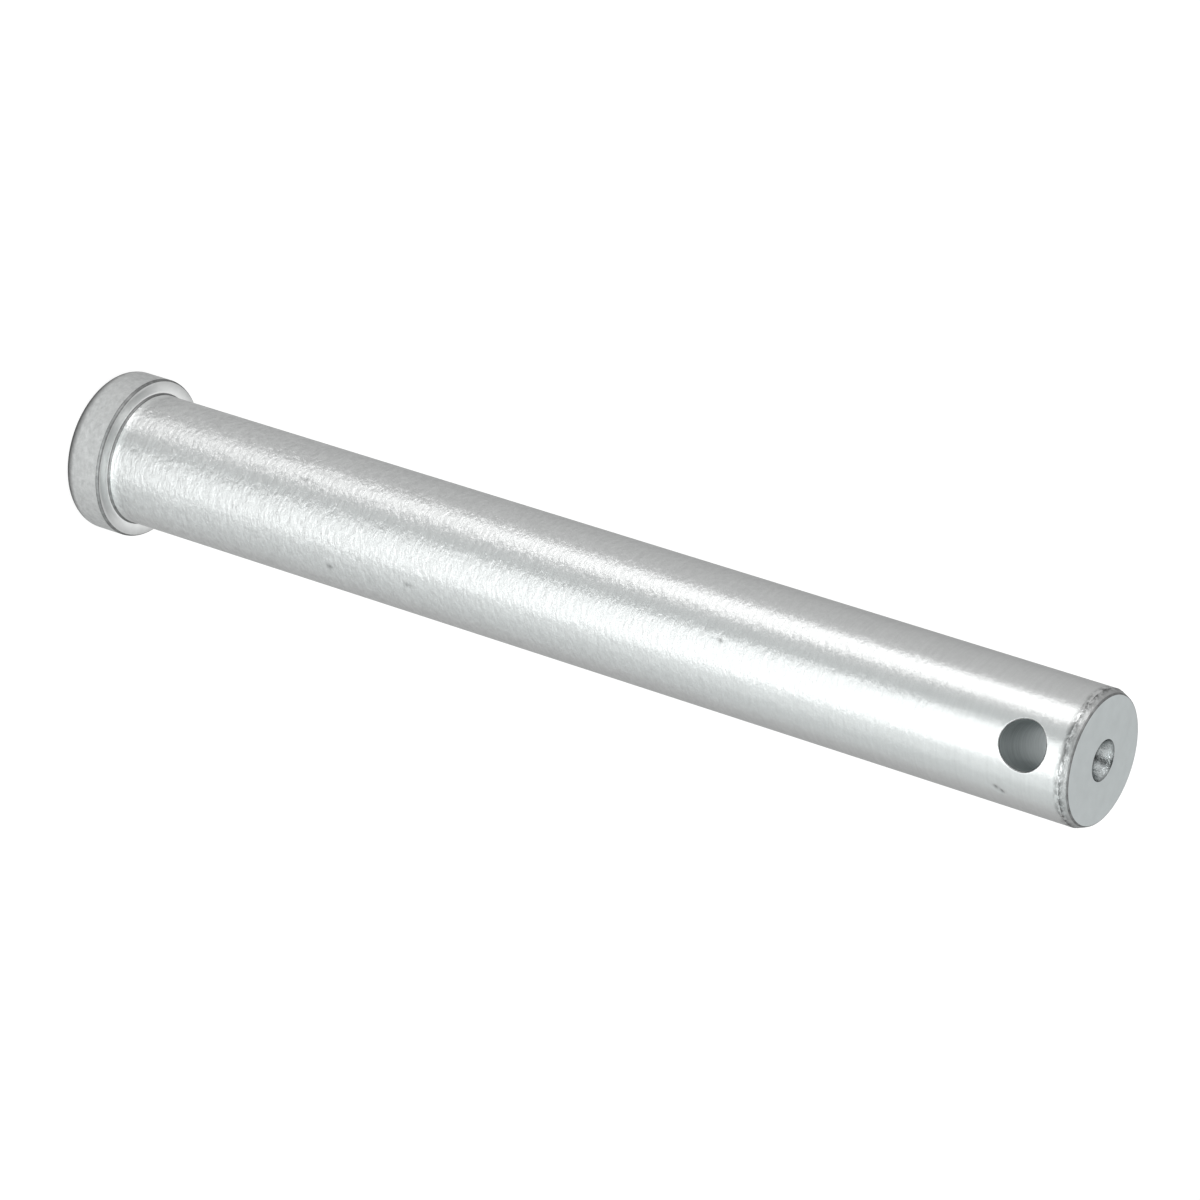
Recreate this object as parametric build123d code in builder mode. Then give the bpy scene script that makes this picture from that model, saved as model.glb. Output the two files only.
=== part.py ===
from build123d import *
from math import radians, tan
import os

# Headed clevis pin, turned from one steel bar. It stands on its head: the origin is the
# centre of the head's outer face, and +Z runs along the shank to the drilled point.
# The cross hole runs along Y. All sizes are in millimetres.

# Shank and head
shank_diameter = 25.25
length_under_head = 210.7
head_diameter = 31.0
head_height = 8.9
head_face_rounding = 2.6
seat_edge_rounding = 0.7
root_fillet_radius = 0.6

# Point, at the drilled end
point_diameter = 23.8
point_chamfer_length = 1.5
point_edge_break = 0.2

# Cross hole for a cotter, clip or linch pin
cross_hole_diameter = 9.0
cross_hole_to_point = 9.5
cross_hole_edge_break = 0.25

# Lathe centre hole in the point's face: a 60 degree cone with a short drilled bottom
centre_mouth_diameter = 7.7
centre_cone_angle = 60.0
centre_pilot_diameter = 4.0
centre_pilot_length = 0.2
centre_tip_angle = 118.0

# Radii, and heights above the head's face
shank_radius = shank_diameter / 2
head_radius = head_diameter / 2
point_radius = point_diameter / 2
point_height = head_height + length_under_head
chamfer_height = point_height - point_chamfer_length
cross_hole_height = point_height - cross_hole_to_point

# Depths of the centre hole below the point's face
mouth_radius = centre_mouth_diameter / 2
pilot_radius = centre_pilot_diameter / 2
cone_depth = (mouth_radius - pilot_radius) / tan(radians(centre_cone_angle / 2))
pilot_depth = cone_depth + centre_pilot_length
tip_depth = pilot_depth + pilot_radius / tan(radians(centre_tip_angle / 2))


with BuildPart() as clevis_pin:
    # Turned blank: half of the lengthwise section, revolved about the pin's axis
    with BuildSketch(Plane.XZ):
        with BuildLine():
            Polyline(
                (0, 0),
                (head_radius, 0),
                (head_radius, head_height),
                (shank_radius, head_height),
                (shank_radius, chamfer_height),
                (point_radius, point_height),
                (0, point_height),
                close=True,
            )
        make_face()
    revolve(axis=Axis.Z)

    # Turned edges: levels are counted up the axis, and a level's rims go outwards
    levels = clevis_pin.edges().filter_by(GeomType.CIRCLE).group_by(Axis.Z)
    fillet(levels[1].sort_by(SortBy.RADIUS)[0], root_fillet_radius)
    levels = clevis_pin.edges().filter_by(GeomType.CIRCLE).group_by(Axis.Z)
    fillet(levels[1].sort_by(SortBy.RADIUS)[-1], seat_edge_rounding)
    levels = clevis_pin.edges().filter_by(GeomType.CIRCLE).group_by(Axis.Z)
    fillet(levels[0], head_face_rounding)
    levels = clevis_pin.edges().filter_by(GeomType.CIRCLE).group_by(Axis.Z)
    fillet(levels[-1], point_edge_break)

    # Cross hole, drilled right through and broken at both mouths
    with Locations(Location((0, 0, cross_hole_height), (90, 0, 0))):
        Hole(cross_hole_diameter / 2)
    mouths = clevis_pin.edges(Select.LAST)
    fillet(mouths, cross_hole_edge_break)

    # Centre hole, left by the lathe in the point's face
    with BuildSketch(Plane.XZ):
        with BuildLine():
            Polyline(
                (0, point_height),
                (mouth_radius, point_height),
                (pilot_radius, point_height - cone_depth),
                (pilot_radius, point_height - pilot_depth),
                (0, point_height - tip_depth),
                close=True,
            )
        make_face()
    revolve(axis=Axis.Z, mode=Mode.SUBTRACT)

clevis_pin.part.label = "clevis_pin"

os.makedirs("parts", exist_ok=True)
export_step(clevis_pin.part, "parts/clevis_pin.step")
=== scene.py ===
import math

import bmesh
import bpy
import numpy as np
from mathutils import Matrix, Vector, noise


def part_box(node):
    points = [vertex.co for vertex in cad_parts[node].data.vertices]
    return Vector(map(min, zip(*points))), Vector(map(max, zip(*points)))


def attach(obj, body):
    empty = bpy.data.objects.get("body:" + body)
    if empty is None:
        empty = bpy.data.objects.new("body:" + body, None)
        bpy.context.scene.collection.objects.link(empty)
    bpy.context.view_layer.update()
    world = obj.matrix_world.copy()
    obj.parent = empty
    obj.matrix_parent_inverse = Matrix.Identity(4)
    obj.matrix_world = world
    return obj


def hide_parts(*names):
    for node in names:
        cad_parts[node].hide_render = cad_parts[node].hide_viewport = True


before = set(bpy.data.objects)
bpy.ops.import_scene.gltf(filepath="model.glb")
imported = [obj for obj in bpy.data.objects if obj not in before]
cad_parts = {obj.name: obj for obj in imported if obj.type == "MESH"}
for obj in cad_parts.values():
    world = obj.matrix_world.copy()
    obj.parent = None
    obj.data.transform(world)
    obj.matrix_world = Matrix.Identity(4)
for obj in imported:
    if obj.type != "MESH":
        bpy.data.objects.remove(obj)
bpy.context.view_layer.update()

# A clevis pin that stands on its head. All lengths are in metres, +Z runs from the head to
# the drilled point, and the cross hole runs along Y.
MM = 0.001

# Driving sizes, the same as in the part's source
PIN_LOW, PIN_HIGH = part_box("clevis_pin")
PIN_LENGTH = PIN_HIGH.z - PIN_LOW.z
HEAD_RADIUS = (PIN_HIGH.x - PIN_LOW.x) / 2
SHANK_RADIUS = 12.625 * MM
HEAD_HEIGHT = 8.9 * MM
FACE_ROUNDING = 2.6 * MM
SEAT_EDGE_ROUNDING = 0.7 * MM
ROOT_FILLET = 0.6 * MM
POINT_RADIUS = 11.9 * MM
CHAMFER_LENGTH = 1.5 * MM
POINT_EDGE_BREAK = 0.2 * MM
HOLE_RADIUS = 4.5 * MM
HOLE_TO_POINT = 9.5 * MM
HOLE_EDGE_BREAK = 0.25 * MM
CENTRE_MOUTH_RADIUS = 3.85 * MM
CENTRE_CONE_HALF_ANGLE = math.radians(30)
CENTRE_PILOT_RADIUS = 2.0 * MM
CENTRE_PILOT_LENGTH = 0.2 * MM
CENTRE_TIP_HALF_ANGLE = math.radians(59)

HOLE_HEIGHT = PIN_LENGTH - HOLE_TO_POINT
CHAMFER_START = PIN_LENGTH - CHAMFER_LENGTH
ROOT_TOP = HEAD_HEIGHT + ROOT_FILLET

# Mesh density
SIDES = 288
SHANK_STEP = 1.0 * MM
HOLE_STEP = 0.6 * MM
HOLE_PATCH_SIDES = 54
HOLE_PATCH_HALF_HEIGHT = 6.6 * MM
HOLE_PATCH_RINGS = 10
HOLE_WALL_RINGS = 24
FILLET_STEPS = 6
CREASE_ANGLE = math.radians(20)

# Rings of vertices along each stretch of the profile, and steps round its curves
FACE_RINGS = 12
FACE_ROUNDING_STEPS = 12
HEAD_SIDE_RINGS = 14
SEAT_RINGS = 4
LAST_SHANK_RINGS = 7
CHAMFER_RINGS = 6
EDGE_BREAK_STEPS = 4
END_FACE_RINGS = 14
CONE_RINGS = 8
PILOT_RINGS = 2
TIP_RINGS = 4
INNERMOST_RING = 0.5 * MM
INNERMOST_TIP_SHARE = 0.1
RING_BEFORE_ROUNDING = 0.1 * MM
RING_BEFORE_FILLET = 0.05 * MM

# Bruises on the point's outer edge: coarse noise plus a share of finer noise, raised by a bias
BRUISE_WIDTH = 0.75 * MM
BRUISE_CELL = 1.3 * MM
BRUISE_DEPTH = 0.16 * MM
BRUISE_FINE_RATIO = 2.3
BRUISE_FINE_SHARE = 0.6
BRUISE_BIAS = 0.2

# How much painted shade darkens a dent in its middle
DENT_PAINTED_SHADE = 0.6

# Dents in the shank, at places measured in the photo. Each row holds the bearing in degrees from -Y
# toward +X, then the height, the half length along the axis, the half width round it and the depth,
# all in millimetres.
DENTS = (
    (-30, 52.1, 0.7, 0.9, 0.20),
    (31, 79.9, 0.7, 0.7, 0.15),
    (44, 205.3, 0.6, 0.6, 0.20),
    (47, 206.4, 0.6, 0.6, 0.20),
    (38, 61.7, 0.6, 0.8, 0.06),
    (-96, 97.8, 0.5, 0.5, 0.05),
    (-7, 147.5, 0.5, 0.5, 0.05),
)


# ---------------------------------------------------------------- turned profile

def arc(centre_r, centre_z, radius, start, end, steps):
    """Points of a profile arc; the angles are in degrees, from +r toward +Z."""
    angles = np.radians(np.linspace(start, end, steps + 1))
    return [(centre_r + radius * math.cos(a), centre_z + radius * math.sin(a)) for a in angles]


def line(start, end, count):
    """The points between two profile points, without the ends."""
    shares = np.linspace(0, 1, count + 1)[1:-1]
    return [(start[0] + (end[0] - start[0]) * t, start[1] + (end[1] - start[1]) * t) for t in shares]


def run(points, end, count):
    """Adds a straight stretch to the profile, up to and with its end point."""
    points += line(points[-1], end, count)
    points.append(end)


def head_profile():
    """From the centre of the head's face, round its edge, to the root of the shank."""
    points = [(INNERMOST_RING, 0.0)]
    run(points, (HEAD_RADIUS - FACE_ROUNDING - RING_BEFORE_ROUNDING, 0.0), FACE_RINGS)
    rounding = HEAD_RADIUS - FACE_ROUNDING
    points += arc(rounding, FACE_ROUNDING, FACE_ROUNDING, -90, 0, FACE_ROUNDING_STEPS)
    seat_edge = HEAD_HEIGHT - SEAT_EDGE_ROUNDING
    run(points, (HEAD_RADIUS, seat_edge - RING_BEFORE_FILLET), HEAD_SIDE_RINGS)
    points += arc(HEAD_RADIUS - SEAT_EDGE_ROUNDING, seat_edge, SEAT_EDGE_ROUNDING, 0, 90, FILLET_STEPS)
    root = SHANK_RADIUS + ROOT_FILLET
    run(points, (root + RING_BEFORE_FILLET, HEAD_HEIGHT), SEAT_RINGS)
    points += arc(root, HEAD_HEIGHT + ROOT_FILLET, ROOT_FILLET, -90, -180, FILLET_STEPS)
    return points


def point_profile():
    """From the start of the point's chamfer to the bottom of the lathe centre hole."""
    points = [(SHANK_RADIUS, CHAMFER_START)]
    slope = math.atan2(SHANK_RADIUS - POINT_RADIUS, CHAMFER_LENGTH)
    turn = math.pi / 2 - slope
    tangent = POINT_EDGE_BREAK * math.tan(turn / 2)
    rim = (POINT_RADIUS + tangent * math.sin(slope), PIN_LENGTH - tangent * math.cos(slope))
    run(points, rim, CHAMFER_RINGS)
    centre = (POINT_RADIUS - tangent, PIN_LENGTH - POINT_EDGE_BREAK)
    points += arc(*centre, POINT_EDGE_BREAK, math.degrees(slope), 90, EDGE_BREAK_STEPS)[1:]
    run(points, (CENTRE_MOUTH_RADIUS, PIN_LENGTH), END_FACE_RINGS)
    cone_depth = (CENTRE_MOUTH_RADIUS - CENTRE_PILOT_RADIUS) / math.tan(CENTRE_CONE_HALF_ANGLE)
    run(points, (CENTRE_PILOT_RADIUS, PIN_LENGTH - cone_depth), CONE_RINGS)
    pilot_bottom = PIN_LENGTH - cone_depth - CENTRE_PILOT_LENGTH
    run(points, (CENTRE_PILOT_RADIUS, pilot_bottom), PILOT_RINGS)
    tip_depth = CENTRE_PILOT_RADIUS / math.tan(CENTRE_TIP_HALF_ANGLE)
    last_height = pilot_bottom - tip_depth * (1 - INNERMOST_TIP_SHARE)
    run(points, (CENTRE_PILOT_RADIUS * INNERMOST_TIP_SHARE, last_height), TIP_RINGS)
    return points


def shank_heights():
    """Ring heights of the shank, closer together round the cross hole."""
    start = ROOT_TOP
    patch_low = HOLE_HEIGHT - HOLE_PATCH_HALF_HEIGHT
    patch_high = HOLE_HEIGHT + HOLE_PATCH_HALF_HEIGHT
    plain = np.linspace(start, patch_low, round((patch_low - start) / SHANK_STEP) + 1)[1:]
    patch = np.linspace(patch_low, patch_high, round((patch_high - patch_low) / HOLE_STEP) + 1)[1:]
    last = np.linspace(patch_high, CHAMFER_START, LAST_SHANK_RINGS)[1:-1]
    return list(plain) + list(patch) + list(last)


# ---------------------------------------------------------------- mesh

def polar(radius, angle, height):
    return (radius * math.cos(angle), radius * math.sin(angle), height)


def add_ring(mesh, radius, height):
    """One ring of vertices round the axis."""
    turn = 2 * math.pi / SIDES
    return [mesh.verts.new(polar(radius, turn * k, height)) for k in range(SIDES)]


def bridge(mesh, lower, upper, skip=()):
    """Quads between two closed rings, apart from the sides named in skip."""
    count = len(lower)
    for k in range(count):
        if k in skip:
            continue
        n = (k + 1) % count
        mesh.faces.new((lower[k], lower[n], upper[n], upper[k]))


def fan(mesh, ring, height):
    """Closes a ring onto one vertex on the axis."""
    centre = mesh.verts.new((0, 0, height))
    count = len(ring)
    for k in range(count):
        mesh.faces.new((ring[k], ring[(k + 1) % count], centre))


def mouth_point(angle, blend):
    """A point of the cross hole's broken edge, on the +Y side: blend 0 lies on the shank, 1 in the bore."""
    out = Vector((math.cos(angle), 0, math.sin(angle)))
    reach = HOLE_RADIUS + HOLE_EDGE_BREAK
    x = reach * out.x
    y = math.sqrt((SHANK_RADIUS - HOLE_EDGE_BREAK) ** 2 - x * x)
    centre = Vector((x, y, reach * out.z))
    shank_normal = Vector((x, y, 0)).normalized()
    direction = shank_normal.slerp(-out, blend)
    point = centre + HOLE_EDGE_BREAK * direction
    return Vector((point.x, point.y, HOLE_HEIGHT + point.z))


def hole_mouth(mesh, boundary, side):
    """Fills the gap in the shank round one mouth of the cross hole and returns the ring at the bore."""
    angles = [math.atan2(v.co.z - HOLE_HEIGHT, v.co.x) for v in boundary]
    rim = [mouth_point(a, 0) for a in angles]
    outer = boundary
    for ring in range(1, HOLE_PATCH_RINGS + 1):
        share = ring / HOLE_PATCH_RINGS
        inner = []
        for vertex, end in zip(boundary, rim):
            x = vertex.co.x + (end.x - vertex.co.x) * share
            z = vertex.co.z + (end.z - vertex.co.z) * share
            inner.append(mesh.verts.new((x, side * math.sqrt(SHANK_RADIUS ** 2 - x * x), z)))
        bridge(mesh, outer, inner)
        outer = inner
    for step in range(1, FILLET_STEPS + 1):
        inner = []
        for a in angles:
            p = mouth_point(a, step / FILLET_STEPS)
            inner.append(mesh.verts.new((p.x, side * p.y, p.z)))
        bridge(mesh, outer, inner)
        outer = inner
    return outer


def patch_boundary(rings, middle):
    """The vertices round the gap in the shank, in order, starting at one corner."""
    half = HOLE_PATCH_SIDES // 2
    first, last = middle - half, middle + half
    bottom = [rings[0][k] for k in range(first, last)]
    right = [ring[last] for ring in rings[:-1]]
    top = [rings[-1][k] for k in range(last, first, -1)]
    left = [ring[first] for ring in reversed(rings[1:])]
    return bottom + right + top + left


def turned_pin_mesh():
    """The whole pin: a lathe form with two mouths and a bore for the cross hole."""
    mesh = bmesh.new()
    rings = []
    patch_rings = []
    for radius, height in head_profile():
        rings.append(add_ring(mesh, radius, height))
    fan(mesh, rings[0], 0.0)
    for height in shank_heights():
        rings.append(add_ring(mesh, SHANK_RADIUS, height))
        if abs(height - HOLE_HEIGHT) < HOLE_PATCH_HALF_HEIGHT + 0.1 * HOLE_STEP:
            patch_rings.append(rings[-1])
    for radius, height in point_profile():
        rings.append(add_ring(mesh, radius, height))
    half = HOLE_PATCH_SIDES // 2
    back_middle = SIDES // 4
    front_middle = 3 * SIDES // 4
    gap = set(range(back_middle - half, back_middle + half))
    gap |= set(range(front_middle - half, front_middle + half))
    inside = {id(ring) for ring in patch_rings}
    for lower, upper in zip(rings, rings[1:]):
        both = id(lower) in inside and id(upper) in inside
        bridge(mesh, lower, upper, gap if both else ())
    tip = PIN_LENGTH - (CENTRE_MOUTH_RADIUS - CENTRE_PILOT_RADIUS) / math.tan(CENTRE_CONE_HALF_ANGLE)
    tip -= CENTRE_PILOT_LENGTH + CENTRE_PILOT_RADIUS / math.tan(CENTRE_TIP_HALF_ANGLE)
    fan(mesh, rings[-1], tip)
    back = hole_mouth(mesh, patch_boundary(patch_rings, back_middle), 1)
    front_boundary = patch_boundary(patch_rings, front_middle)
    front = hole_mouth(mesh, front_boundary, -1)
    front = match_order(front, back)
    wall = back
    for step in range(1, HOLE_WALL_RINGS):
        share = step / HOLE_WALL_RINGS
        inner = [mesh.verts.new(a.co.lerp(b.co, share)) for a, b in zip(back, front)]
        bridge(mesh, wall, inner)
        wall = inner
    bridge(mesh, wall, front)
    painted_dent_shade = mesh.verts.layers.float.new("painted_dent_shade")
    for vertex in mesh.verts:
        vertex[painted_dent_shade] = wear_and_dent_shade(vertex)
    bmesh.ops.recalc_face_normals(mesh, faces=mesh.faces)
    return mesh


def wear_and_dent_shade(vertex):
    """Moves a vertex inward where the pin is dented or bruised, and returns the painted shade in a dent
    there.
    """
    x, y, z = vertex.co
    radius = math.hypot(x, y)
    if abs(z - CHAMFER_START) < BRUISE_WIDTH and radius > POINT_RADIUS:
        spot = vertex.co / BRUISE_CELL
        grain = noise.noise(spot) + BRUISE_FINE_SHARE * noise.noise(spot * BRUISE_FINE_RATIO)
        share = 1 - abs(z - CHAMFER_START) / BRUISE_WIDTH
        inset = BRUISE_DEPTH * max(0.0, grain + BRUISE_BIAS) * share
        vertex.co.xy *= 1 - inset / radius
        return 0.0
    painted_dent_shade = 0.0
    if abs(radius - SHANK_RADIUS) < 0.01 * MM:
        for bearing, height, along, around, depth in DENTS:
            angle = math.radians(bearing)
            place = Vector((math.sin(angle), -math.cos(angle)))
            aside = x * place.y - y * place.x
            if x * place.x + y * place.y < 0:
                continue
            reach = math.hypot((z - height * MM) / (along * MM), aside / (around * MM))
            pit = math.exp(-2 * reach ** 2)
            vertex.co.xy *= 1 - depth * MM * pit / radius
            # Painted shade: each dent is painted darker toward its middle
            painted_dent_shade = max(painted_dent_shade, pit * DENT_PAINTED_SHADE)
    return painted_dent_shade


def match_order(ring, model):
    """The ring's vertices in the order of another ring, paired by their place round the bore."""
    def place(v):
        return math.atan2(v.co.z - HOLE_HEIGHT, v.co.x)
    ordered = sorted(ring, key=place)
    ranks = sorted(range(len(model)), key=lambda k: place(model[k]))
    result = [None] * len(model)
    for vertex, rank in zip(ordered, ranks):
        result[rank] = vertex
    return result


# ---------------------------------------------------------------- materials

ZINC_GREY = (0.505, 0.512, 0.510)
COOL_GREY = (0.530, 0.564, 0.567)
GRAZING_TINT = (0.52, 0.52, 0.52, 1)


class NodeMaterial:
    """A procedural material under construction, with short names for the nodes it needs."""

    def __init__(self, name):
        self.material = bpy.data.materials.new(name)
        self.material.use_nodes = True
        self.nodes = self.material.node_tree.nodes
        self.links = self.material.node_tree.links
        self.shader = self.nodes["Principled BSDF"]
        self.place = self.nodes.new("ShaderNodeTexCoord").outputs["Object"]

    def noise(self, cell, detail=3.0, roughness=0.6):
        """Noise from about 0 to 1, with cells of the given size along X, Y and Z."""
        stretch = self.nodes.new("ShaderNodeMapping")
        stretch.inputs["Scale"].default_value = [1 / c for c in cell]
        self.links.new(self.place, stretch.inputs[0])
        texture = self.nodes.new("ShaderNodeTexNoise")
        texture.inputs["Scale"].default_value = 1.0
        texture.inputs["Detail"].default_value = detail
        texture.inputs["Roughness"].default_value = roughness
        self.links.new(stretch.outputs[0], texture.inputs[0])
        return texture.outputs["Fac"]

    def swing(self, cell, detail=3.0, roughness=0.6):
        """Noise from about -0.5 to 0.5."""
        return self.math("SUBTRACT", self.noise(cell, detail, roughness), 0.5)

    def math(self, operation, first, second):
        """One sum, difference or product of two sockets or numbers."""
        node = self.nodes.new("ShaderNodeMath")
        node.operation = operation
        for socket, value in zip(node.inputs, (first, second)):
            if isinstance(value, (int, float)):
                socket.default_value = value
            else:
                self.links.new(value, socket)
        return node.outputs[0]

    def ramp(self, value, low, high, to_low, to_high):
        """Runs from to_low to to_high while the value goes from low to high, and is level outside."""
        node = self.nodes.new("ShaderNodeMapRange")
        self.links.new(value, node.inputs["Value"])
        for name, number in (("From Min", low), ("From Max", high), ("To Min", to_low), ("To Max", to_high)):
            node.inputs[name].default_value = number
        return node.outputs[0]

    def attribute(self, name):
        """A number stored on the mesh's vertices."""
        node = self.nodes.new("ShaderNodeAttribute")
        node.attribute_name = name
        return node.outputs["Fac"]

    def radius(self):
        """The distance from the pin's axis."""
        flat = self.nodes.new("ShaderNodeVectorMath")
        flat.operation = "MULTIPLY"
        flat.inputs[1].default_value = (1, 1, 0)
        self.links.new(self.place, flat.inputs[0])
        length = self.nodes.new("ShaderNodeVectorMath")
        length.operation = "LENGTH"
        self.links.new(flat.outputs[0], length.inputs[0])
        return length.outputs["Value"]

    def height(self):
        """The height above the head's face."""
        parts = self.nodes.new("ShaderNodeSeparateXYZ")
        self.links.new(self.place, parts.inputs[0])
        return parts.outputs["Z"]

    def colour(self, base, factor):
        """Sets the base colour to a colour times a factor."""
        node = self.nodes.new("ShaderNodeVectorMath")
        node.operation = "SCALE"
        node.inputs[0].default_value = base
        self.links.new(factor, node.inputs["Scale"])
        self.links.new(node.outputs[0], self.shader.inputs["Base Color"])

    def relief(self, height):
        """Bumps the surface by a height in metres."""
        node = self.nodes.new("ShaderNodeBump")
        node.inputs["Distance"].default_value = 1.0
        self.links.new(height, node.inputs["Height"])
        self.links.new(node.outputs[0], self.shader.inputs["Normal"])

    def metal(self, roughness, anisotropy=0.0):
        """Metal with a grazing dip; a positive anisotropy spreads gloss along the pin's axis."""
        inputs = self.shader.inputs
        inputs["Metallic"].default_value = 1.0
        inputs["Roughness"].default_value = roughness
        inputs["Anisotropic"].default_value = anisotropy
        inputs["Specular Tint"].default_value = GRAZING_TINT
        if anisotropy:
            inputs["Anisotropic Rotation"].default_value = 0.25
            tangent = self.nodes.new("ShaderNodeTangent")
            tangent.direction_type = "RADIAL"
            tangent.axis = "Z"
            self.links.new(tangent.outputs[0], inputs["Tangent"])


def shank_zinc():
    """Turned and zinc-plated: lines round the axis, mottling that fades away from the head, scuffs by the
    point, painted shade in the dents and a painted reflection just above the root.
    """
    mottle_contrast = 0.5
    mottle_depth = 0.25 * MM
    line_contrast = 0.16
    line_depth = 0.01 * MM
    mat = NodeMaterial("shank_zinc")
    mat.metal(roughness=0.40, anisotropy=0.93)
    lines = mat.swing((30 * MM, 30 * MM, 0.45 * MM), detail=4.0)
    amount = mat.ramp(mat.height(), 20 * MM, 200 * MM, 1.0, 0.25)
    mottle = mat.math("MULTIPLY", mat.swing((1.5 * MM, 1.5 * MM, 0.8 * MM)), amount)
    edge = mat.ramp(mat.height(), CHAMFER_START - 1.3 * MM, CHAMFER_START - 0.2 * MM, 0.0, 1.0)
    patches = mat.noise((2.4 * MM, 2.4 * MM, 1.2 * MM), detail=4.0, roughness=0.7)
    scuff = mat.ramp(patches, 0.42, 0.54, 0.0, 0.62)
    # Painted reflection: the shank is painted brighter just above the root fillet
    root = mat.ramp(mat.height(), ROOT_TOP + 0.6 * MM, ROOT_TOP + 2.0 * MM, 0.35, 0.0)
    mottle_tone = mat.math("MULTIPLY", mottle, mottle_contrast)
    line_tone = mat.math("MULTIPLY", lines, line_contrast)
    tone = mat.math("ADD", mottle_tone, line_tone)
    tone = mat.math("SUBTRACT", tone, mat.math("MULTIPLY", edge, scuff))
    # Painted shade in the dents, read from the vertex attribute
    tone = mat.math("SUBTRACT", tone, mat.attribute("painted_dent_shade"))
    tone = mat.math("ADD", tone, root)
    mat.colour(ZINC_GREY, mat.math("ADD", tone, 1.0))
    mottle_relief = mat.math("MULTIPLY", mottle, mottle_depth)
    line_relief = mat.math("MULTIPLY", lines, line_depth)
    mat.relief(mat.math("ADD", mottle_relief, line_relief))
    return mat.material


def head_zinc():
    """The matte, mottled head, with painted shade where its side rounds off to its outer face."""
    contrast = 0.7
    brightness = 0.92
    mat = NodeMaterial("head_zinc")
    mat.metal(roughness=0.45)
    mottle = mat.swing((1.0 * MM, 1.0 * MM, 0.8 * MM), detail=4.0, roughness=0.7)
    # Painted shade: the rounding between the head's side and its outer face is painted darker
    painted_rim_shade_above = mat.ramp(mat.height(), 1.2 * MM, 2.7 * MM, 0.25, 1.0)
    painted_rim_shade_below = mat.ramp(mat.height(), 0.02 * MM, 0.35 * MM, 1.0, 0.25)
    rim = mat.math("MAXIMUM", painted_rim_shade_above, painted_rim_shade_below)
    tone = mat.math("ADD", mat.math("MULTIPLY", mottle, contrast), brightness)
    mat.colour(ZINC_GREY, mat.math("MULTIPLY", tone, rim))
    mat.relief(mat.math("MULTIPLY", mottle, 0.08 * MM))
    return mat.material


def seat_zinc():
    """The head's smoother seat, with a painted reflection that makes it brighter toward the shank."""
    contrast = 0.25
    mat = NodeMaterial("seat_zinc")
    mat.metal(roughness=0.45)
    mottle = mat.swing((1.5 * MM, 1.5 * MM, 1.5 * MM))
    inner = SHANK_RADIUS + ROOT_FILLET
    outer = HEAD_RADIUS - SEAT_EDGE_ROUNDING
    # Painted reflection: the seat is painted brighter toward the shank
    painted_seat_reflection = mat.ramp(mat.radius(), inner, outer, 1.5, 1.05)
    mat.colour(ZINC_GREY, mat.math("ADD", mat.math("MULTIPLY", mottle, contrast), painted_seat_reflection))
    mat.relief(mat.math("MULTIPLY", mottle, 0.02 * MM))
    return mat.material


def face_zinc():
    """The even, slightly cool face at the drilled end."""
    contrast = 0.18
    mat = NodeMaterial("face_zinc")
    mat.metal(roughness=0.38)
    mottle = mat.swing((2.5 * MM, 2.5 * MM, 2.5 * MM), detail=4.0)
    mat.colour(COOL_GREY, mat.math("ADD", mat.math("MULTIPLY", mottle, contrast), 1.0))
    mat.relief(mat.math("MULTIPLY", mottle, 0.02 * MM))
    return mat.material


def chamfer_zinc():
    """The point's chamfer, scuffed darker in patches along its outer edge."""
    brightness = 0.72
    mat = NodeMaterial("chamfer_zinc")
    mat.metal(roughness=0.42)
    scuff = mat.noise((1.4 * MM, 1.4 * MM, 0.7 * MM), detail=4.0, roughness=0.7)
    edge = mat.ramp(mat.height(), CHAMFER_START, CHAMFER_START + 0.8 * MM, 1.0, 0.25)
    dark = mat.math("MULTIPLY", mat.ramp(scuff, 0.38, 0.56, 0.0, 0.55), edge)
    mat.colour(ZINC_GREY, mat.math("SUBTRACT", brightness, dark))
    mat.relief(mat.math("MULTIPLY", scuff, 0.10 * MM))
    return mat.material


def painted_edge_shade_zinc():
    """The narrow broken edges and the root fillet, darkened with painted shade."""
    contrast = 0.5
    # The low brightness is painted shade on the broken edges and in the root fillet
    brightness = 0.36
    mat = NodeMaterial("painted_edge_shade_zinc")
    mat.metal(roughness=0.50)
    mottle = mat.swing((1.2 * MM, 1.2 * MM, 1.2 * MM), detail=4.0)
    mat.colour(ZINC_GREY, mat.math("ADD", mat.math("MULTIPLY", mottle, contrast), brightness))
    return mat.material


def centre_zinc():
    """The lathe centre hole: patchy, with painted shade at the bottom and just inside the lip."""
    contrast = 1.6
    mat = NodeMaterial("centre_zinc")
    mat.metal(roughness=0.24)
    mottle = mat.swing((1.3 * MM, 1.3 * MM, 1.3 * MM), detail=4.0, roughness=0.7)
    depth = mat.math("SUBTRACT", PIN_LENGTH, mat.height())
    # Painted shade just inside the lip and deep in the hole, where the recess is shaded
    painted_lip_shade = mat.ramp(depth, 0.1 * MM, 0.6 * MM, 0.35, 0.8)
    pit = mat.ramp(depth, 2.2 * MM, 3.1 * MM, 1.0, 0.08)
    patches = mat.math("ADD", mat.math("MULTIPLY", mottle, contrast), 1.0)
    mat.colour(COOL_GREY, mat.math("MULTIPLY", mat.math("MULTIPLY", painted_lip_shade, pit), patches))
    mat.relief(mat.math("MULTIPLY", mottle, 0.18 * MM))
    return mat.material


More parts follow.
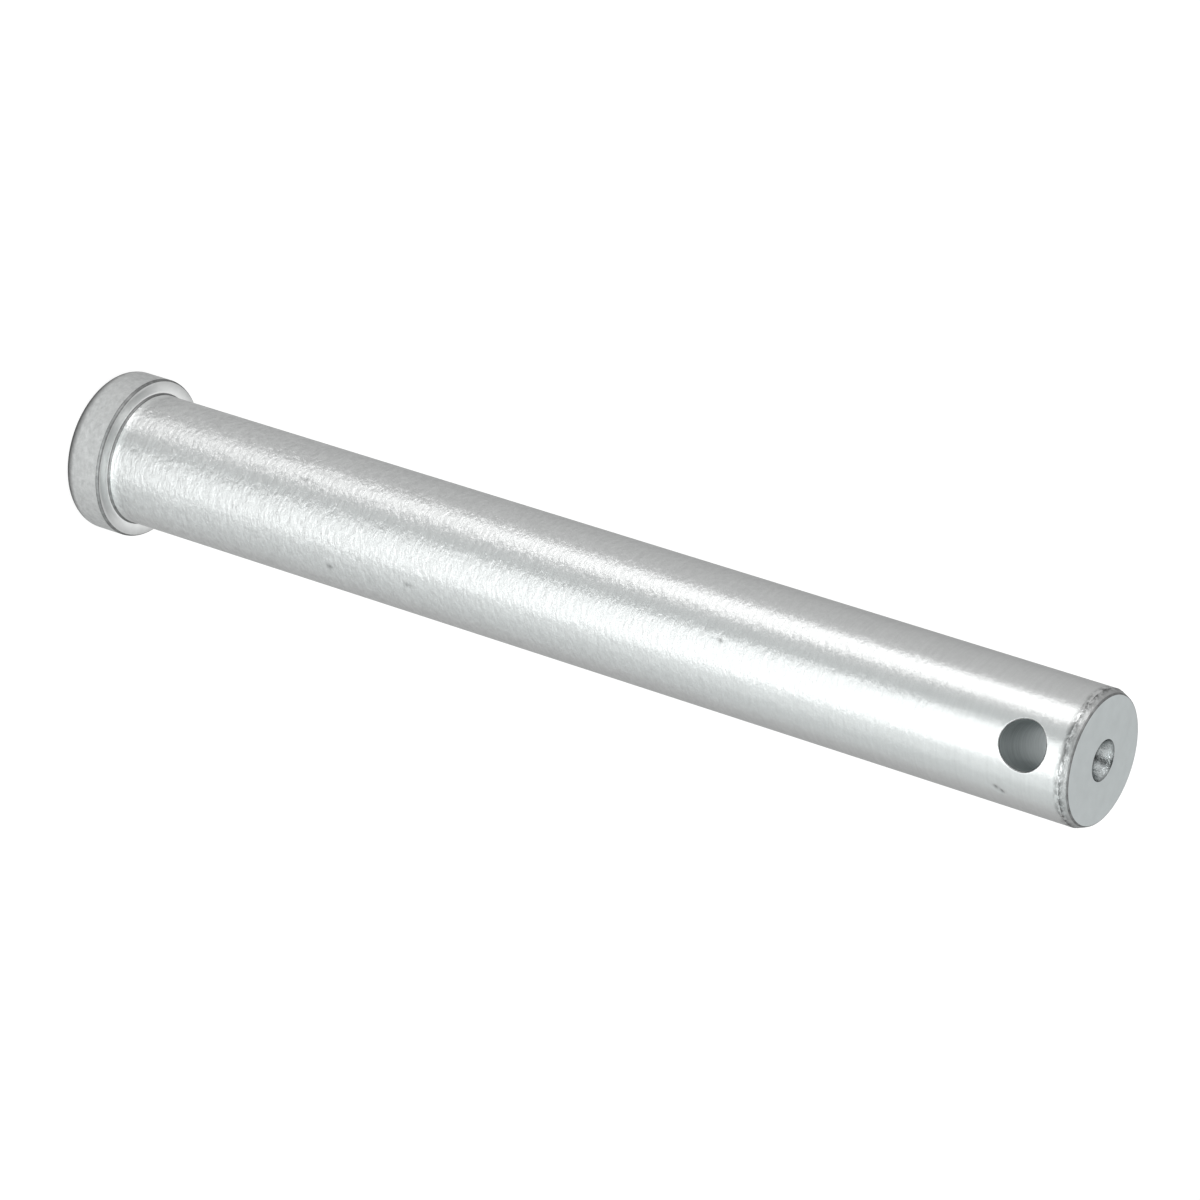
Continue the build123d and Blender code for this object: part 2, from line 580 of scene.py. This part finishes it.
def bore_zinc():
    """The drilled wall of the cross hole, with rings from the drill."""
    contrast = 0.5
    brightness = 0.95
    mat = NodeMaterial("bore_zinc")
    mat.metal(roughness=0.50)
    rings = mat.swing((6 * MM, 0.5 * MM, 6 * MM))
    mat.colour(COOL_GREY, mat.math("ADD", mat.math("MULTIPLY", rings, contrast), brightness))
    mat.relief(mat.math("MULTIPLY", rings, 0.02 * MM))
    return mat.material


# ---------------------------------------------------------------- the piece

# The finishes, and the material slot that each one takes on the piece
FINISHES = (shank_zinc, head_zinc, seat_zinc, face_zinc, chamfer_zinc, bore_zinc, painted_edge_shade_zinc, centre_zinc)
SHANK, HEAD, SEAT, FACE, CHAMFER, BORE, EDGE, CENTRE = range(len(FINISHES))

# Where one zone ends and the next begins, as shares of the curve between them
SEAT_EDGE_SHARE = 0.6
ROOT_SHARE = 0.1
POINT_EDGE_SHARE = 1.7
HOLE_EDGE_SHARE = 0.9
WALL_TOLERANCE = 0.01 * MM


def zone(centre):
    """The material zone of a face, from where its centre is."""
    radius = math.hypot(centre.x, centre.y)
    if centre.z < HEAD_HEIGHT - SEAT_EDGE_ROUNDING:
        return HEAD
    if centre.z < ROOT_TOP and radius < HEAD_RADIUS - SEAT_EDGE_SHARE * SEAT_EDGE_ROUNDING:
        return SEAT if centre.z < HEAD_HEIGHT + ROOT_SHARE * ROOT_FILLET else EDGE
    if centre.z < ROOT_TOP:
        return EDGE
    if radius < CENTRE_MOUTH_RADIUS and centre.z > HOLE_HEIGHT + HOLE_RADIUS:
        return CENTRE
    if centre.z > CHAMFER_START:
        if radius < POINT_RADIUS - POINT_EDGE_BREAK:
            return FACE
        return CHAMFER if centre.z < PIN_LENGTH - POINT_EDGE_SHARE * POINT_EDGE_BREAK else EDGE
    from_hole = math.hypot(centre.x, centre.z - HOLE_HEIGHT)
    if from_hole > HOLE_RADIUS + HOLE_EDGE_SHARE * HOLE_EDGE_BREAK:
        return SHANK
    return BORE if from_hole < HOLE_RADIUS + WALL_TOLERANCE else EDGE


def make_pin():
    """The one visible piece, in place of the CAD pin."""
    mesh = turned_pin_mesh()
    data = bpy.data.meshes.new("clevis_pin_body")
    mesh.to_mesh(data)
    mesh.free()
    pin = bpy.data.objects.new("clevis_pin_body", data)
    bpy.context.scene.collection.objects.link(pin)
    data.shade_smooth()
    data.set_sharp_from_angle(angle=CREASE_ANGLE)
    for finish in FINISHES:
        data.materials.append(finish())
    for face in data.polygons:
        face.material_index = zone(face.center)
    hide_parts("clevis_pin")
    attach(pin, "root")


# ---------------------------------------------------------------- floor, world and lamps

CAMERA_AZIMUTH = math.radians(-7.785)
TOWARD_CAMERA = Vector((math.sin(CAMERA_AZIMUTH), -math.cos(CAMERA_AZIMUTH), 0))
LEFT_OF_CAMERA = -Vector((0, 0, 1)).cross(TOWARD_CAMERA)

# The white world, as other surfaces are lit by it and as the camera and the metal see it
WORLD_LIGHT = 0.7
WORLD_SEEN = 1.0

# The floor lies just under the pin, so that it doesn't coincide with the head's face
FLOOR_HALF = 8.0
FLOOR_DROP = 0.05 * MM
FLOOR_GREY = (0.25, 0.25, 0.25, 1)
FLOOR_GLOW = (0.85, 0.85, 0.85, 1)

# Lamp and card sizes and distances, in metres
LAMP_DISTANCE = 0.6
LAMP_HEIGHT = 0.42
FILL_DISTANCE = 0.7
FILL_COLOUR = (0.82, 1.0, 1.0)
BACK_LAMP_HEIGHT = 0.18
CARD_HALF = 0.42
CARD_DISTANCE = 1.05
CARD_START_HEIGHT = 0.2
CARD_ELEVATION = math.radians(30.7)
CARD_BLACK = (0.03, 0.03, 0.03, 1)


def seen_by_camera_or_gloss(nodes, links):
    """1 for camera, glossy and transmission rays, and 0 for the rest."""
    path = nodes.new("ShaderNodeLightPath")
    first = nodes.new("ShaderNodeMath")
    first.operation = "MAXIMUM"
    links.new(path.outputs["Is Camera Ray"], first.inputs[0])
    links.new(path.outputs["Is Glossy Ray"], first.inputs[1])
    second = nodes.new("ShaderNodeMath")
    second.operation = "MAXIMUM"
    links.new(first.outputs[0], second.inputs[0])
    links.new(path.outputs["Is Transmission Ray"], second.inputs[1])
    return second.outputs[0]


def make_world():
    """An even white world."""
    world = bpy.data.worlds.new("studio")
    bpy.context.scene.world = world
    world.use_nodes = True
    nodes, links = world.node_tree.nodes, world.node_tree.links
    background = nodes["Background"]
    background.inputs["Color"].default_value = (1, 1, 1, 1)
    shown = seen_by_camera_or_gloss(nodes, links)
    level = nodes.new("ShaderNodeMapRange")
    level.inputs["To Min"].default_value = WORLD_LIGHT
    level.inputs["To Max"].default_value = WORLD_SEEN
    links.new(shown, level.inputs["Value"])
    links.new(level.outputs[0], background.inputs["Strength"])


def square_sheet(name, half, height):
    """A level square round the Z axis."""
    data = bpy.data.meshes.new(name)
    corners = [(-half, -half, height), (half, -half, height), (half, half, height), (-half, half, height)]
    data.from_pydata(corners, [], [(0, 1, 2, 3)])
    sheet = bpy.data.objects.new(name, data)
    bpy.context.scene.collection.objects.link(sheet)
    return sheet


def make_floor():
    """Paper that glows toward the camera and the metal, takes the shadow, and is clear from below."""
    floor = square_sheet("floor", FLOOR_HALF, -FLOOR_DROP)
    mat = bpy.data.materials.new("floor_paper")
    mat.use_nodes = True
    nodes, links = mat.node_tree.nodes, mat.node_tree.links
    nodes.clear()
    out = nodes.new("ShaderNodeOutputMaterial")
    diffuse = nodes.new("ShaderNodeBsdfDiffuse")
    diffuse.inputs["Color"].default_value = FLOOR_GREY
    glow = nodes.new("ShaderNodeEmission")
    links.new(seen_by_camera_or_gloss(nodes, links), glow.inputs["Strength"])
    glow.inputs["Color"].default_value = FLOOR_GLOW
    add = nodes.new("ShaderNodeAddShader")
    links.new(diffuse.outputs[0], add.inputs[0])
    links.new(glow.outputs[0], add.inputs[1])
    clear = nodes.new("ShaderNodeBsdfTransparent")
    side = nodes.new("ShaderNodeNewGeometry")
    mix = nodes.new("ShaderNodeMixShader")
    links.new(side.outputs["Backfacing"], mix.inputs[0])
    links.new(add.outputs[0], mix.inputs[1])
    links.new(clear.outputs[0], mix.inputs[2])
    links.new(mix.outputs[0], out.inputs["Surface"])
    floor.data.materials.append(mat)


def soft_box(name, bearing, distance, width, height, radiance):
    """An upright area lamp on the floor. The bearing is in degrees from the camera's side toward the left."""
    turn = math.radians(bearing)
    outward = TOWARD_CAMERA * math.cos(turn) + LEFT_OF_CAMERA * math.sin(turn)
    data = bpy.data.lights.new(name, "AREA")
    data.shape = "RECTANGLE"
    data.size = width
    data.size_y = height
    data.energy = radiance * math.pi * width * height
    lamp = bpy.data.objects.new(name, data)
    lamp.location = outward * distance + Vector((0, 0, height / 2))
    lamp.rotation_euler = outward.to_track_quat("Z", "Y").to_euler()
    lamp.visible_camera = False
    bpy.context.scene.collection.objects.link(lamp)
    return lamp


def make_lamps():
    """Two bright boxes and a dimmer one for the shank's bands, a wide fill and a low one behind."""
    soft_box("narrow_box", 52, LAMP_DISTANCE, width=0.31, height=LAMP_HEIGHT, radiance=4.0)
    soft_box("broad_box", -21.5, LAMP_DISTANCE, width=0.60, height=LAMP_HEIGHT, radiance=3.5)
    soft_box("edge_box", -61, LAMP_DISTANCE, width=0.24, height=LAMP_HEIGHT, radiance=0.75)
    fill = soft_box("fill_box", -36, FILL_DISTANCE, width=3.8, height=LAMP_HEIGHT, radiance=1.0)
    fill.data.color = FILL_COLOUR
    soft_box("low_back_box", 180, LAMP_DISTANCE, width=0.14, height=BACK_LAMP_HEIGHT, radiance=2.5)


def make_dark_card():
    """A dark card behind the camera, which the metal shows but the camera doesn't."""
    toward = TOWARD_CAMERA * math.cos(CARD_ELEVATION) + Vector((0, 0, math.sin(CARD_ELEVATION)))
    card = square_sheet("dark_card", CARD_HALF, 0)
    mat = bpy.data.materials.new("dark_cloth")
    mat.use_nodes = True
    shader = mat.node_tree.nodes["Principled BSDF"]
    shader.inputs["Base Color"].default_value = CARD_BLACK
    shader.inputs["Roughness"].default_value = 0.9
    card.data.materials.append(mat)
    card.location = Vector((0, 0, CARD_START_HEIGHT)) + toward * CARD_DISTANCE
    card.rotation_euler = toward.to_track_quat("Z", "Y").to_euler()
    card.visible_camera = False
    card.visible_shadow = False
    card.visible_diffuse = False


# ---------------------------------------------------------------- camera

# Fitted to the photo's outlines. The distance is counted in shank diameters.
CAMERA_ELEVATION = math.radians(30.725)
CAMERA_ROLL = math.radians(107.585)
CAMERA_AIM = Vector((-0.1727 * MM, 0.0236 * MM, 113.918 * MM))
CAMERA_SHANKS_AWAY = 39.8575
CAMERA_LENS = 166.15


def make_camera():
    """The photo's view, with the pin lying across the picture."""
    unit = 2 * SHANK_RADIUS
    back = TOWARD_CAMERA * math.cos(CAMERA_ELEVATION) + Vector((0, 0, math.sin(CAMERA_ELEVATION)))
    level_right = Vector((0, 0, 1)).cross(back).normalized()
    level_up = back.cross(level_right)
    right = level_right * math.cos(CAMERA_ROLL) + level_up * math.sin(CAMERA_ROLL)
    up = back.cross(right)
    data = bpy.data.cameras.new("camera")
    data.sensor_width = 36
    data.lens = CAMERA_LENS
    data.clip_start = 0.01
    data.clip_end = 100
    camera = bpy.data.objects.new("camera", data)
    turn = Matrix((right, up, back)).transposed().to_4x4()
    camera.matrix_world = Matrix.Translation(CAMERA_AIM + back * CAMERA_SHANKS_AWAY * unit) @ turn
    bpy.context.scene.collection.objects.link(camera)
    bpy.context.scene.camera = camera


make_pin()
make_world()
make_floor()
make_lamps()
make_dark_card()
make_camera()
bpy.context.scene.view_settings.view_transform = "Standard"
